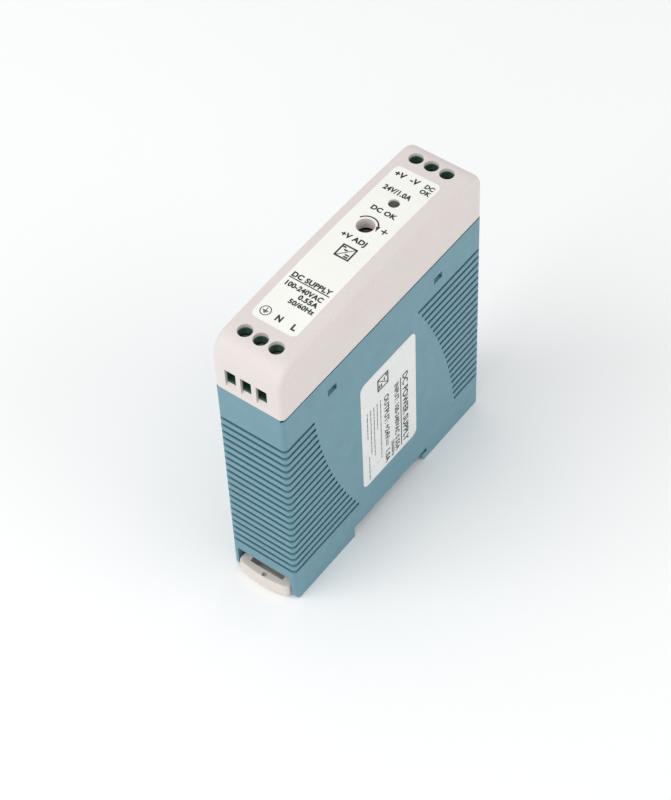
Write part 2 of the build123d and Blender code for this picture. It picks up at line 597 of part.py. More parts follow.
def boxed(y, z, size_y, size_z, height, pitch, along_z=True, r=0.3, soft=0.5):
    """Potted box part on the main board with two leads."""
    foot = MAIN_FACE + 0.2
    body = block(foot, foot + height, y - size_y / 2, y + size_y / 2, z - size_z / 2, z + size_z / 2)
    body = fillet(body.edges().filter_by(Axis.X), soft)
    body = fillet(body.edges().sort_by(Axis.X)[-8:], soft * 0.6)
    offsets = [(0, -pitch / 2), (0, pitch / 2)] if along_z else [(-pitch / 2, 0), (pitch / 2, 0)]
    return [body, *leads([(y + a, z + b) for a, b in offsets], 0.2, r)]


def line_capacitor():
    return boxed(-15.5, 70.0, 6.5, 14.0, 12.0, 10.0, soft=0.7)


def fuse():
    return boxed(-38.2, 74.0, 4.2, 8.4, 8.0, 5.08)


def dual_row(y, z, size_y, size_z, height, pins, pitch, row):
    """Moulded part with two rows of legs bent down to the board."""
    foot = MAIN_FACE + 0.6
    body = block(foot, foot + height, y - size_y / 2, y + size_y / 2, z - size_z / 2, z + size_z / 2)
    body = chamfer(body.edges().sort_by(Axis.X)[-4:], 0.3)
    body -= rod_x(0.5, foot + height - 0.2, foot + height + 1, y - size_y / 2 + 1, z + size_z / 2 - 1)
    legs = []
    for side in (-1, 1):
        for k in range(pins):
            zk = z + (k - (pins - 1) / 2) * pitch
            edge = y + side * size_y / 2
            out = y + side * row / 2
            y0, y1 = sorted((edge, out + side * 0.15))
            knee = foot + height / 2
            leg = block(knee - 0.13, knee + 0.13, y0, y1, zk - 0.6, zk + 0.6)
            y0, y1 = sorted((out - side * 0.13, out + side * 0.15))
            leg += block(MAIN_FACE + 0.1, knee, y0, y1, zk - 0.6, zk + 0.6)
            leg += block(TAIL_X, MAIN_FACE + 0.2, y0, y1, zk - 0.25, zk + 0.25)
            legs.append(leg)
            board_holes.append((out, zk))
    return [body, *legs]


def bridge_rectifier():
    return dual_row(-34.0, 44.5, 6.4, 8.6, 3.3, 2, 2 * PIN_PITCH, 3 * PIN_PITCH)


def optocoupler():
    return dual_row(2.5, 16.5, 6.4, 4.6, 3.3, 2, PIN_PITCH, 3 * PIN_PITCH)


def controller_ic():
    return dual_row(-8.5, 46.0, 6.4, 9.6, 3.3, 4, PIN_PITCH, 3 * PIN_PITCH)


CHOKE_AT = (MAIN_FACE + 8.1, -24.0, 57.0)  # middle of the mains choke


def choke_core():
    """Ferrite ring of the mains choke, standing on edge."""
    x, y, z = CHOKE_AT
    ring = rod_y(5.8, x, y - 2.6, y + 2.6, z) - rod_y(3.3, x, y - 3, y + 3, z)
    return fillet(ring.edges().filter_by(GeomType.CIRCLE), 0.5)


def choke_windings():
    """Two enamelled windings on opposite halves of the ring, each as its outer shape, with leads."""
    x, y, z = CHOKE_AT
    sleeve = rod_y(6.9, x, y - 3.7, y + 3.7, z) - rod_y(2.3, x, y - 4, y + 4, z)
    sleeve -= rod_y(5.85, x, y - 2.65, y + 2.65, z) - rod_y(3.25, x, y - 2.65, y + 2.65, z)
    shapes = []
    for side in (-1, 1):
        z0, z1 = sorted((z + side * 1.3, z + side * 8))
        half = sleeve & block(x - 9, x + 9, y - 5, y + 5, z0, z1)
        shapes += half.solids()
        for dy in (-2.6, 2.6):
            lead_z = z + side * 2.6
            foot = x - math.sqrt(6.9**2 - 2.6**2)
            shapes.append(rod_x(0.4, TAIL_X, foot - 0.02, y + dy, lead_z))
            board_holes.append((y + dy, lead_z))
    return shapes


TX_Y, TX_Z = 9.5, 35.5  # transformer's middle
TX_X = MAIN_FACE + 8.0


def transformer_core():
    """Two E halves that meet in the middle of the bobbin."""
    halves = []
    for side in (-1, 1):
        z0, z1 = sorted((TX_Z, TX_Z + side * 9.5))
        half = block(TX_X - 3.0, TX_X + 3.0, TX_Y - 10.0, TX_Y + 10.0, z0, z1)
        z0, z1 = sorted((TX_Z, TX_Z + side * 6.6))
        for y0, y1 in ((TX_Y - 7.2, TX_Y - 2.6), (TX_Y + 2.6, TX_Y + 7.2)):
            half -= block(TX_X - 4, TX_X + 4, y0, y1, z0 - (side > 0), z1 + (side < 0))
        halves.append(chamfer(half.edges().filter_by(Axis.X), 0.2))
    return halves


def transformer_bobbin():
    """Coil former: a square tube with two flanges and a row of pins on each pin rail."""
    tube = block(TX_X - 4.0, TX_X + 4.0, TX_Y - 3.6, TX_Y + 3.6, TX_Z - 6.4, TX_Z + 6.4)
    for side in (-1, 1):
        z0, z1 = sorted((TX_Z + side * 5.5, TX_Z + side * 6.4))
        tube += block(TX_X - 6.6, TX_X + 6.6, TX_Y - 7.0, TX_Y + 7.0, z0, z1)
        z0, z1 = sorted((TX_Z + side * 5.5, TX_Z + side * 10.6))
        tube += block(MAIN_FACE + 0.2, TX_X - 3.2, TX_Y - 9.6, TX_Y + 9.6, z0, z1)
    tube -= block(TX_X - 3.1, TX_X + 3.1, TX_Y - 2.7, TX_Y + 2.7, TX_Z - 12, TX_Z + 12)
    pins = []
    for side in (-1, 1):
        for k in range(4):
            points = [(TX_Y - 7.5 + 5.0 * k, TX_Z + side * 9.2)]
            pins += leads(points, 0.2)
    return [tube, *pins]


def transformer_winding():
    """The coil under its yellow tape, as a rounded sleeve between the flanges."""
    wound = block(TX_X - 6.2, TX_X + 6.2, TX_Y - 6.6, TX_Y + 6.6, TX_Z - 5.4, TX_Z + 5.4)
    wound = fillet(wound.edges().filter_by(Axis.Z), 2.4)
    return wound - block(TX_X - 4.05, TX_X + 4.05, TX_Y - 3.65, TX_Y + 3.65, TX_Z - 6, TX_Z + 6)


SINK_HOLE_X = MAIN_FACE + 11.4  # height of the fixing holes


def heatsink(y, z):
    """Aluminium plate standing across the board, with a foot pin at each end and a screw hole."""
    plate = block(MAIN_FACE + 0.3, MAIN_FACE + 15.0, y, y + 1.5, z - 9.0, z + 9.0)
    plate = fillet(plate.edges().filter_by(Axis.Y), 0.6)
    plate -= rod_y(1.6, SINK_HOLE_X, y - 1, y + 3, z)
    for dz in (-7.0, 7.0):
        plate += block(TAIL_X, MAIN_FACE + 0.6, y + 0.4, y + 1.1, z + dz - 0.35, z + dz + 0.35)
        board_holes.append((y + 0.75, z + dz))
    return plate


def tab_package(y, z):
    """Three-leg power part on the lower face of its heatsink: metal tab, moulded body and legs."""
    tab = block(MAIN_FACE + 4.6, MAIN_FACE + 14.0, y - 1.3, y, z - 5.0, z + 5.0)
    tab -= rod_y(1.7, SINK_HOLE_X, y - 3, y + 1, z)
    body = block(MAIN_FACE + 3.8, MAIN_FACE + 8.5, y - 4.4, y - 1.3, z - 5.0, z + 5.0)
    body = chamfer(body.faces().sort_by(Axis.Y)[0].edges(), 0.4)
    legs = []
    for dz in (-PIN_PITCH, 0, PIN_PITCH):
        leg = block(MAIN_FACE + 0.1, MAIN_FACE + 3.8, y - 3.0, y - 2.5, z + dz - 0.6, z + dz + 0.6)
        leg += block(TAIL_X, MAIN_FACE + 0.2, y - 3.0, y - 2.5, z + dz - 0.25, z + dz + 0.25)
        legs.append(leg)
        board_holes.append((y - 2.75, z + dz))
    return tab, [body, *legs]


SWITCH_SINK = (-4.0, 67.0)
DIODE_SINK = (25.0, 34.0)


def sink_screw(y, z):
    """Pan-head screw through part and heatsink, with its nut."""
    x = SINK_HOLE_X
    head = rod_y(2.7, x, y - 3.2, y - 1.3, z)
    head = fillet(head.edges().sort_by(Axis.Y)[0], 0.9)
    head -= block(x - 1.6, x + 1.6, y - 4, y - 2.3, z - 0.3, z + 0.3)
    head -= block(x - 0.3, x + 0.3, y - 4, y - 2.3, z - 1.6, z + 1.6)
    screw = head + rod_y(1.45, x, y - 1.4, y + 4.6, z)
    nut = Pos(x, y + 1.5, z) * Rot(-90, 0, 0) * extrude(RegularPolygon(3.1, 6), 2.3)
    return [screw, nut - rod_y(1.45, x, y, y + 5, z)]


def output_inductor():
    """Drum-core choke in heat-shrink: a waisted drum with two leads."""
    y, z, foot = 31.0, 62.0, MAIN_FACE + 0.3
    drum = rod_x(4.6, foot, foot + 1.4, y, z)
    drum += rod_x(4.1, foot + 1.3, foot + 9.7, y, z)
    drum += rod_x(4.6, foot + 9.6, foot + 11, y, z)
    return [drum, *leads([(y, z - 2.5), (y, z + 2.5)], 0.3)]


RESISTORS = [(-19.0, 45.5), (13.0, 56.0), (13.0, 61.0), (13.0, 66.0)]  # (y, z) of each middle


def power_resistors():
    """Snubber and start-up resistors lying on the board, with bent leads."""
    parts = []
    x = MAIN_FACE + 1.9
    for y, z in RESISTORS:
        body = rod_y(1.5, x, y - 2.8, y + 2.8, z)
        parts.append(fillet(body.edges().filter_by(GeomType.CIRCLE), 0.7))
        for side in (-1, 1):
            foot = y + side * 4.4
            parts.append(bent_lead(0.3, (x, y + side * 2.8, z), (x, foot, z), foot, z))
    return parts


LINK_ROWS = [(-31.0, 3), (-8.0, 4)]  # first pin's y and how many


def board_link():
    """Right-angle pins that carry the front board on the main board, one row at each end."""
    strips = []
    for y0, count in LINK_ROWS:
        y1 = y0 + (count - 1) * PIN_PITCH
        x = MAIN_FACE + 1.3
        half = PIN_PITCH / 2
        strips.append(block(MAIN_FACE, x + half, y0 - half, y1 + half, LINK_Z - half, LINK_Z + half))
        for k in range(count):
            y = y0 + PIN_PITCH * k
            pin = block(x - 0.32, x + 0.32, y - 0.32, y + 0.32, LINK_Z, FRONT_FACE + 1)
            pin += block(TAIL_X, x + 0.32, y - 0.32, y + 0.32, LINK_Z - 0.32, LINK_Z + 0.32)
            strips.append(pin)
            front_holes.append((x, y, 0.5))
            board_holes.append((y, LINK_Z))
    pins = [s for s in strips if s.volume < 12]
    bodies = []
    for body in (s for s in strips if s.volume >= 12):
        for pin in pins:
            body -= pin
        bodies.append(body)
    return bodies + pins


CHIP_ROWS = [(-22.0, 39.0, 5), (-4.0, 52.5, 5), (18.0, 51.0, 4)]  # first y, z and count
CHIP_STEP = 3.6
CHIP_CLEAR = 2.2  # least distance from a solder joint


def chip_parts():
    """Small surface-mount parts on the solder side, each a chip with plated ends."""
    chips = []
    for first_y, z, count in CHIP_ROWS:
        for k in range(count):
            y = first_y + CHIP_STEP * k
            if min(math.dist((y, z), hole) for hole in board_holes) < CHIP_CLEAR:
                continue
            chip = block(MAIN_X - 0.55, MAIN_X, y - 0.62, y + 0.62, z - 1.0, z + 1.0)
            chips.append(fillet(chip.edges().filter_by(Axis.X), 0.12))
    return chips


def main_board():
    board = block(MAIN_X, MAIN_FACE, -MAIN_HALF_Y, MAIN_HALF_Y, MAIN_LOW, MAIN_HIGH)
    slot = softened(block(MAIN_X - 1, MAIN_FACE + 1, -1.0, 0.6, 20.5, 31.0), 0.7, Axis.X)
    return board - [rod_x(0.52, MAIN_X - 1, MAIN_FACE + 1, y, z) for y, z in board_holes] - slot


def front_board():
    board = block(-FRONT_HALF_X, FRONT_HALF_X, -FRONT_HALF_Y, FRONT_HALF_Y, FRONT_Z, FRONT_FACE)
    return board - [rod_z(r, x, y, FRONT_Z - 1, FRONT_FACE + 1) for x, y, r in front_holes]


def solder_joints():
    """A cone of solder round each lead on the main board's back."""
    joints = []
    for y, z in board_holes:
        cone = Pos(MAIN_X - 0.3, y, z) * Rot(0, -90, 0) * Cone(0.95, 0.62, 0.6)
        joints.append(cone - rod_x(0.55, MAIN_X - 2, MAIN_X + 1, y, z))
    return joints


def insulation_sheet():
    """Clear film between the solder side and the wall of the tub."""
    return block(SHEET_X, SHEET_X + 0.2, -39.5, 39.5, MAIN_LOW + 1, WINDOW_Z - 3)


def main():
    os.makedirs("parts", exist_ok=True)
    save("housing", housing())
    save("front_cover", front_cover())
    save("front_label", front_label())
    save("side_label", side_label())
    save("rail_clip", rail_clip())
    save("clip_spring", clip_spring())
    for end, word in ((-1, "input"), (1, "output")):
        save(f"{word}_terminal_block", terminal_block(end))
        save(f"{word}_contacts", *terminal_contacts(end))
        for k, x in enumerate(POLE_X, 1):
            save(f"{word}_cage_{k}", terminal_cage(end, x))
            save(f"{word}_screw_{k}", terminal_screw(end, x))
    save("trimmer_body", *trimmer_body())
    save("trimmer_rotor", trimmer_rotor())
    save("status_led", status_led())
    save("led_leads", *led_leads())
    save("led_spacer", led_spacer())
    save("bulk_capacitor", *bulk_capacitor())
    save("output_capacitors", *output_capacitors())
    save("bias_capacitor", *bias_capacitor())
    save("varistor", *varistor())
    save("thermistor", *thermistor())
    save("safety_capacitors", *safety_capacitors())
    save("line_capacitor", *line_capacitor())
    save("fuse", *fuse())
    save("bridge_rectifier", *bridge_rectifier())
    save("optocoupler", *optocoupler())
    save("controller_ic", *controller_ic())
    save("choke_core", choke_core())
    save("choke_windings", *choke_windings())
    save("transformer_core", *transformer_core())
    save("transformer_bobbin", *transformer_bobbin())
    save("transformer_winding", transformer_winding())
    for word, (y, z) in (("switch", SWITCH_SINK), ("diode", DIODE_SINK)):
        tab, rest = tab_package(y, z)
        save(f"{word}_heatsink", heatsink(y, z))
        save(f"{word}_package", tab, *rest)
        save(f"{word}_screw", *sink_screw(y, z))
    save("output_inductor", *output_inductor())
    save("power_resistors", *power_resistors())
    save("board_link", *board_link())
    save("chip_parts", *chip_parts())
    save("main_board", main_board())
    save("front_board", front_board())
    save("solder_joints", *solder_joints())
    save("insulation_sheet", insulation_sheet())


main()
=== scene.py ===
"""Looks of the rail-mounted power supply: materials, printed marks, windings, studio and camera.

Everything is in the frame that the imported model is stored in. Sizes are written in millimetres and
turned into metres by MM where an object is made.
"""

import json
import math

import bmesh
import bpy
from mathutils import Matrix, Vector


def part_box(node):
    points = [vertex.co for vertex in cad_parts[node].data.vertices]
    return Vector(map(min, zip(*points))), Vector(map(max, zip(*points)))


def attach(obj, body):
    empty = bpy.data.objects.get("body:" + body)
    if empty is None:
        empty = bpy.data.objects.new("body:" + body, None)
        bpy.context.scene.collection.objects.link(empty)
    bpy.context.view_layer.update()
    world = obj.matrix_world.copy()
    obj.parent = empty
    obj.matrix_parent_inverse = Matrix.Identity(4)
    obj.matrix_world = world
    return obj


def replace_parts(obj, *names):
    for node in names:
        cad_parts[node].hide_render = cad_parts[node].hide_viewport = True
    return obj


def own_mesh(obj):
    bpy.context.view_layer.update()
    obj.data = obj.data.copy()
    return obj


MM = 0.001

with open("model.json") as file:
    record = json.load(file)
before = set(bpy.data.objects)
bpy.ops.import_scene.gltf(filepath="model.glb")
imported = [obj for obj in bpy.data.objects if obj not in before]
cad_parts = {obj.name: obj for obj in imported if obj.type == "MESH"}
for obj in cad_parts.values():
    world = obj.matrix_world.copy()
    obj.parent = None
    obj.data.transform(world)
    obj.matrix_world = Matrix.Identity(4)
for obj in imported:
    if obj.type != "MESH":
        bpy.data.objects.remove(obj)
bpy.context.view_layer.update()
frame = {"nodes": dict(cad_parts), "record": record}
NODES = frame["nodes"]


def box_mm(node):
    """A node's lowest and highest corners, in millimetres."""
    low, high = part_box(node)
    return Vector(low) / MM, Vector(high) / MM


CASE_LOW, CASE_HIGH = box_mm("front_cover")
MIDDLE_Y = (CASE_LOW.y + CASE_HIGH.y) / 2  # halfway up the case
REAR_Z = box_mm("housing")[0].z

# Printing
INK = 0.03  # thickness of the print
SMALL_WIDE = 0.16  # half the stroke of the smallest print
CROWN_R = 715.0  # the front face is very slightly crowned along its length

# Windings
TURN_STEPS = 28  # points to a turn
CHOKE_TURNS, CHOKE_WIRE_R = 13, 0.42
RING_THICK = 2.5  # the choke's ring, from its hole to its rim
SPRING_TURNS, SPRING_WIRE_R = 7, 0.25

# Camera: found from the case's outline, with angles in degrees
CAMERA_AZIMUTH = 39.07
CAMERA_ELEVATION = 50.81
CAMERA_ROLL = -3.0
CAMERA_DISTANCE = 658.8
CAMERA_SLIDE = (-5.39, -8.22)  # sideways and upwards, from the line through the case's middle
CAMERA_LENS = 106.5


# ---------------------------------------------------------------- materials


class Shader:
    """A Principled material that is built up node by node."""

    def __init__(self, name):
        self.material = bpy.data.materials.new(name)
        self.material.use_nodes = True
        self.tree = self.material.node_tree
        self.base = self.tree.nodes["Principled BSDF"]
        self.place = self.node("ShaderNodeTexCoord").outputs["Object"]

    def node(self, kind, **inputs):
        made = self.tree.nodes.new(kind)
        for key, value in inputs.items():
            self.feed(made.inputs[key.replace("_", " ")], value)
        return made

    def feed(self, socket, value):
        """Links a socket to another node's output, or sets its value."""
        if isinstance(value, bpy.types.NodeSocket):
            self.tree.links.new(value, socket)
        elif isinstance(value, tuple) and len(value) == 3 and socket.type == "RGBA":
            socket.default_value = (*value, 1.0)
        else:
            socket.default_value = value

    def set(self, **inputs):
        for key, value in inputs.items():
            self.feed(self.base.inputs[key.replace("_", " ")], value)
        return self

    def noise(self, size_mm, detail=2.0, rough=0.5, stretch=None):
        """Noise whose blotches are about size_mm across."""
        place = self.place
        if stretch:
            mapping = self.node("ShaderNodeMapping", Vector=place)
            mapping.inputs["Scale"].default_value = stretch
            place = mapping.outputs["Vector"]
        made = self.node("ShaderNodeTexNoise", Vector=place, Scale=1000.0 / size_mm)
        made.inputs["Detail"].default_value = detail
        made.inputs["Roughness"].default_value = rough
        return made.outputs["Fac"]

    def between(self, factor, low, high):
        """Maps a 0 to 1 factor, in practice 0.3 to 0.7 for noise, to a range of numbers."""
        made = self.node("ShaderNodeMapRange", Value=factor)
        made.inputs["From Min"].default_value = 0.3
        made.inputs["From Max"].default_value = 0.7
        made.inputs["To Min"].default_value = low
        made.inputs["To Max"].default_value = high
        return made.outputs["Result"]

    def mix(self, factor, first, second):
        made = self.tree.nodes.new("ShaderNodeMix")
        made.data_type = "RGBA"
        self.feed(made.inputs[0], factor)
        self.feed(made.inputs[6], first)
        self.feed(made.inputs[7], second)
        return made.outputs[2]

    def shaded(self, colour, spread, size_mm):
        """The colour, drifting lighter and darker by a fraction in soft patches."""
        dark = tuple(c * (1 - spread) for c in colour)
        light = tuple(min(c * (1 + spread), 1.0) for c in colour)
        return self.mix(self.between(self.noise(size_mm), 0.0, 1.0), dark, light)

    def painted_crevice_shade(self, colour, depth_mm, dark):
        """The colour with painted shade: mixed towards dark in slots and corners narrower than
        depth_mm, by ambient occlusion.
        """
        open_air = self.node("ShaderNodeAmbientOcclusion", Distance=depth_mm * MM)
        open_air.only_local = True
        open_air.samples = 8
        spread = self.node("ShaderNodeMapRange", Value=open_air.outputs["AO"])
        spread.inputs["From Min"].default_value = 0.35
        spread.inputs["From Max"].default_value = 0.85
        return self.mix(spread.outputs["Result"], dark, colour)

    def bump(self, height, depth_mm, strength=1.0):
        made = self.node("ShaderNodeBump", Height=height, Distance=depth_mm * MM, Strength=strength)
        self.feed(self.base.inputs["Normal"], made.outputs["Normal"])
        return self


def moulded(
    name, colour, roughness=0.5, spread=0.05, patch=9.0, grain=0.28, depth=0.012, coat=0.0, painted_shade=None
):
    """Moulded plastic: soft colour drift, a fine spark-eroded grain and uneven gloss. Given a shade
    colour, painted shade darkens narrow slots and corners."""
    shader = Shader(name)
    grain_noise = shader.noise(grain, detail=3.0, rough=0.6)
    surface = shader.mix(
        shader.between(grain_noise, 0.0, 0.35),
        shader.shaded(colour, spread, patch),
        tuple(c * 0.82 for c in colour),
    )
    # painted shade: slots and corners are darkened by ambient occlusion
    if painted_shade:
        surface = shader.painted_crevice_shade(surface, 1.2, painted_shade)
    shader.set(
        Base_Color=surface,
        Roughness=shader.between(shader.noise(patch / 3), roughness - 0.05, roughness + 0.05),
        Coat_Weight=coat,
    )
    return shader.bump(grain_noise, depth).material


def metal(name, colour, roughness=0.3, brushed=(1.0, 1.0, 1.0), grain=0.2, depth=0.004):
    """Plated or bare metal: streaked or cloudy gloss."""
    shader = Shader(name)
    streaks = shader.noise(grain, detail=4.0, rough=0.6, stretch=brushed)
    shader.set(
        Base_Color=shader.shaded(colour, 0.12, grain * 8),
        Metallic=1.0,
        Roughness=shader.between(streaks, roughness - 0.08, roughness + 0.12),
    )
    return shader.bump(streaks, depth).material


def lacquer(name, colour, roughness=0.25, dimple=1.6, depth=0.03):
    """Dipped or sleeved glossy coating with a slight orange-peel surface."""
    shader = Shader(name)
    peel = shader.noise(dimple, detail=1.0)
    shader.set(Base_Color=shader.shaded(colour, 0.10, 3.0), Roughness=roughness, Coat_Weight=0.3)
    return shader.bump(peel, depth).material


def film(name, colour, roughness):
    """Printed label film: nearly even, with the faint unevenness of what it is stuck on."""
    shader = Shader(name)
    shader.set(
        Base_Color=shader.shaded(colour, 0.015, 14.0),
        Roughness=shader.between(shader.noise(4.0), roughness - 0.04, roughness + 0.04),
        Coat_Weight=0.12,
        Coat_Roughness=0.25,
    )
    return shader.bump(shader.noise(6.0, detail=1.0), 0.004, 0.4).material


def laminate(name):
    """Green solder mask over glass cloth, with copper tracks showing faintly through."""
    shader = Shader(name)
    weave = shader.node("ShaderNodeTexBrick", Vector=shader.place, Scale=1800.0)
    tracks = shader.node("ShaderNodeTexVoronoi", Vector=shader.place, Scale=190.0)
    tracks.feature = "DISTANCE_TO_EDGE"
    edge = shader.node("ShaderNodeMath", Value=tracks.outputs["Distance"])
    edge.operation = "GREATER_THAN"
    edge.inputs[1].default_value = 0.16
    colour = shader.mix(edge.outputs["Value"], (0.012, 0.085, 0.035), (0.03, 0.16, 0.06))
    shader.set(Base_Color=colour, Roughness=0.32, Coat_Weight=0.4)
    return shader.bump(weave.outputs["Fac"], 0.01, 0.4).material


def enamelled_copper(name):
    """Copper wire under a clear amber enamel."""
    shader = Shader(name)
    shader.set(
        Base_Color=shader.shaded((0.62, 0.22, 0.06), 0.15, 1.2),
        Metallic=0.9,
        Roughness=0.28,
        Coat_Weight=0.8,
        Coat_Tint=(1.0, 0.72, 0.42),
    )
    return shader.bump(shader.noise(0.5), 0.003).material


def clear_resin(name, colour, roughness=0.12, through=0.55):
    """Tinted epoxy that lets light in."""
    shader = Shader(name)
    shader.set(
        Base_Color=shader.shaded(colour, 0.06, 1.5),
        Roughness=roughness,
        Transmission_Weight=through,
        IOR=1.52,
    )
    return shader.bump(shader.noise(0.6), 0.002).material


def tape(name, colour, lap_mm=0.7):
    """Polyester tape wound in laps, so a fine step shows at each lap."""
    shader = Shader(name)
    wave = shader.node("ShaderNodeTexWave", Vector=shader.place, Scale=1000.0 / (lap_mm * 20))
    wave.bands_direction = "Z"
    wave.wave_profile = "SAW"
    shader.set(Base_Color=shader.shaded(colour, 0.08, 4.0), Roughness=0.3, Coat_Weight=0.5)
    return shader.bump(wave.outputs["Fac"], 0.05, 0.8).material


def ink(name, colour):
    shader = Shader(name)
    shader.set(Base_Color=shader.shaded(colour, 0.12, 0.8), Roughness=0.55)
    return shader.bump(shader.noise(0.15, detail=3.0), 0.004).material


def pale_floor(name):
    shader = Shader(name)
    shader.set(Base_Color=shader.shaded((0.96, 0.96, 0.955), 0.01, 300.0), Roughness=0.7)
    return shader.bump(shader.noise(3.0), 0.02, 0.2).material


HOUSING_BLUE = (0.136, 0.288, 0.350)
PAINTED_SHADE_BLUE = (0.025, 0.105, 0.15)  # painted shade colour of the housing plastic in its grooves and seam
COVER_GREY = (0.735, 0.67, 0.64)

MATERIALS = {
    # the housing plastic carries painted shade in its grooves and seam
    "housing_plastic": moulded(
        "housing_plastic", HOUSING_BLUE, 0.44, 0.035, 9.0, 0.35, 0.014, painted_shade=PAINTED_SHADE_BLUE
    ),
    "cover_plastic": moulded("cover_plastic", COVER_GREY, 0.5, 0.015, 14.0, 0.5, 0.006),
    "label_film": film("label_film", (0.89, 0.885, 0.835), 0.42),
    "rating_plate": film("rating_plate", (0.77, 0.78, 0.755), 0.3),
    "clip_plastic": moulded("clip_plastic", (0.735, 0.675, 0.62), 0.42, 0.02, 6.0, 0.5, 0.008),
    "spring_steel": metal("spring_steel", (0.62, 0.62, 0.64), 0.22),
    "terminal_plastic": moulded("terminal_plastic", (0.022, 0.085, 0.062), 0.34, 0.12, 3.0, 0.3),
    "tinned_brass": metal("tinned_brass", (0.78, 0.74, 0.64), 0.3),
    "trimmer_plastic": moulded("trimmer_plastic", (0.05, 0.11, 0.34), 0.4, 0.08, 2.0),
    "rotor_plastic": moulded("rotor_plastic", (0.075, 0.072, 0.075), 0.5, 0.1, 1.0),
    "lamp_resin": clear_resin("lamp_resin", (0.055, 0.08, 0.045), 0.2, 0.25),
    "tinned_lead": metal("tinned_lead", (0.76, 0.75, 0.73), 0.3),
    "black_moulding": moulded("black_moulding", (0.022, 0.022, 0.024), 0.55, 0.2, 3.0, 0.2),
    "capacitor_sleeve": lacquer("capacitor_sleeve", (0.02, 0.025, 0.06), 0.3, 2.5, 0.02),
    "blue_coating": lacquer("blue_coating", (0.03, 0.12, 0.42)),
    "green_coating": lacquer("green_coating", (0.03, 0.14, 0.06)),
    "yellow_case": moulded("yellow_case", (0.68, 0.42, 0.03), 0.35, 0.05, 4.0, 0.4, 0.005, 0.2),
    "ferrite": moulded("ferrite", (0.05, 0.05, 0.053), 0.5, 0.25, 1.5, 0.25, 0.02),
    "enamelled_wire": enamelled_copper("enamelled_wire"),
    "yellow_tape": tape("yellow_tape", (0.76, 0.52, 0.03)),
    "heatsink_aluminium": metal("heatsink_aluminium", (0.82, 0.83, 0.84), 0.34, (1.0, 1.0, 14.0), 2.0),
    "zinc_steel": metal("zinc_steel", (0.66, 0.68, 0.66), 0.32, grain=0.6),
    "resistor_coating": lacquer("resistor_coating", (0.30, 0.42, 0.46), 0.35, 0.8, 0.01),
    "chip_ceramic": moulded("chip_ceramic", (0.34, 0.24, 0.15), 0.45, 0.15, 0.6, 0.15),
    "board_laminate": laminate("board_laminate"),
    "solder": metal("solder", (0.78, 0.79, 0.80), 0.2, grain=0.7, depth=0.02),
    "clear_film": clear_resin("clear_film", (0.86, 0.86, 0.82), 0.2, 0.5),
}
INK_BLACK = ink("printed_ink", (0.016, 0.016, 0.018))
INK_GREY = ink("printed_ink_grey", (0.12, 0.12, 0.125))


def dress_nodes():
    """Gives every CAD node the material of its slot in the record."""
    for part in frame["record"]["subparts"]:
        node = NODES[part["node"]]
        node.data.materials.clear()
        node.data.materials.append(MATERIALS[part["material_slot"]])


# ---------------------------------------------------------------- mesh helpers


def piece(name, mesh, material, body):
    """Puts a mesh in the scene as a piece that rides on a body."""
    made = bpy.data.objects.new(name, mesh)
    bpy.context.scene.collection.objects.link(made)
    made.data.materials.clear()
    made.data.materials.append(material)
    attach(made, body)
    return made


class Print:
    """Print on a face, drawn in millimetres: u along the lines of text, v across them. With a crown
    radius, the face falls away as v leaves the origin."""

    def __init__(self, origin, right, up, crown=None):
        self.origin = Vector(origin)
        self.axes = (Vector(right), Vector(up), Vector(right).cross(Vector(up)))
        self.crown = crown
        self.mesh = bmesh.new()

    def prism(self, outline):
        """A thin closed slab with the given outline of (u, v), anticlockwise."""
        low = [self.mesh.verts.new((u, v, -INK / 2)) for u, v in outline]
        high = [self.mesh.verts.new((u, v, INK)) for u, v in outline]
        self.mesh.faces.new(high)
        self.mesh.faces.new(low[::-1])
        for k in range(len(outline)):
            after = (k + 1) % len(outline)
            self.mesh.faces.new((low[k], low[after], high[after], high[k]))

    def bar(self, u0, u1, v0, v1):
        self.prism([(u0, v0), (u1, v0), (u1, v1), (u0, v1)])

    def arc(self, u, v, radius, width, start, end, steps=32):
        """A curved stroke from one angle to another, in degrees, anticlockwise."""
        inside, outside = radius - width / 2, radius + width / 2
        angles = [math.radians(start + (end - start) * k / steps) for k in range(steps + 1)]
        for a, b in zip(angles, angles[1:]):
            ring = [(outside, a), (outside, b), (inside, b), (inside, a)]
            self.prism([(u + r * math.cos(t), v + r * math.sin(t)) for r, t in ring])

    def text(self, words, u, v, cap, bold=0.042, wide=1.0, spaced=1.06):
        """Words in capitals centred on (u, v), with letters of height cap."""
        outline = letters(words, bold, spaced)
        centre = (outline["low"] + outline["high"]) / 2
        scale = cap / outline["cap"]
        start = len(self.mesh.verts)
        self.mesh.from_mesh(outline["mesh"])
        self.mesh.verts.ensure_lookup_table()
        for vertex in self.mesh.verts[start:]:
            x = (vertex.co.x - centre.x) * scale * wide + u
            y = (vertex.co.y - outline["cap"] / 2) * scale + v
            vertex.co = (x, y, INK if vertex.co.z > 0 else -INK / 2)
        bpy.data.meshes.remove(outline["mesh"])

    def finish(self, name, material):
        """Turns the drawing into one piece on the case."""
        bmesh.ops.remove_doubles(self.mesh, verts=self.mesh.verts, dist=0.0005)
        bmesh.ops.recalc_face_normals(self.mesh, faces=self.mesh.faces)
        right, up, out = self.axes
        for vertex in self.mesh.verts:
            u, v, w = vertex.co
            if self.crown:
                w -= self.crown - math.sqrt(self.crown**2 - v**2)
            vertex.co = (self.origin + right * u + up * v + out * w) * MM
        mesh = bpy.data.meshes.new(name)
        self.mesh.to_mesh(mesh)
        self.mesh.free()
        return piece(name, mesh, material, "case")


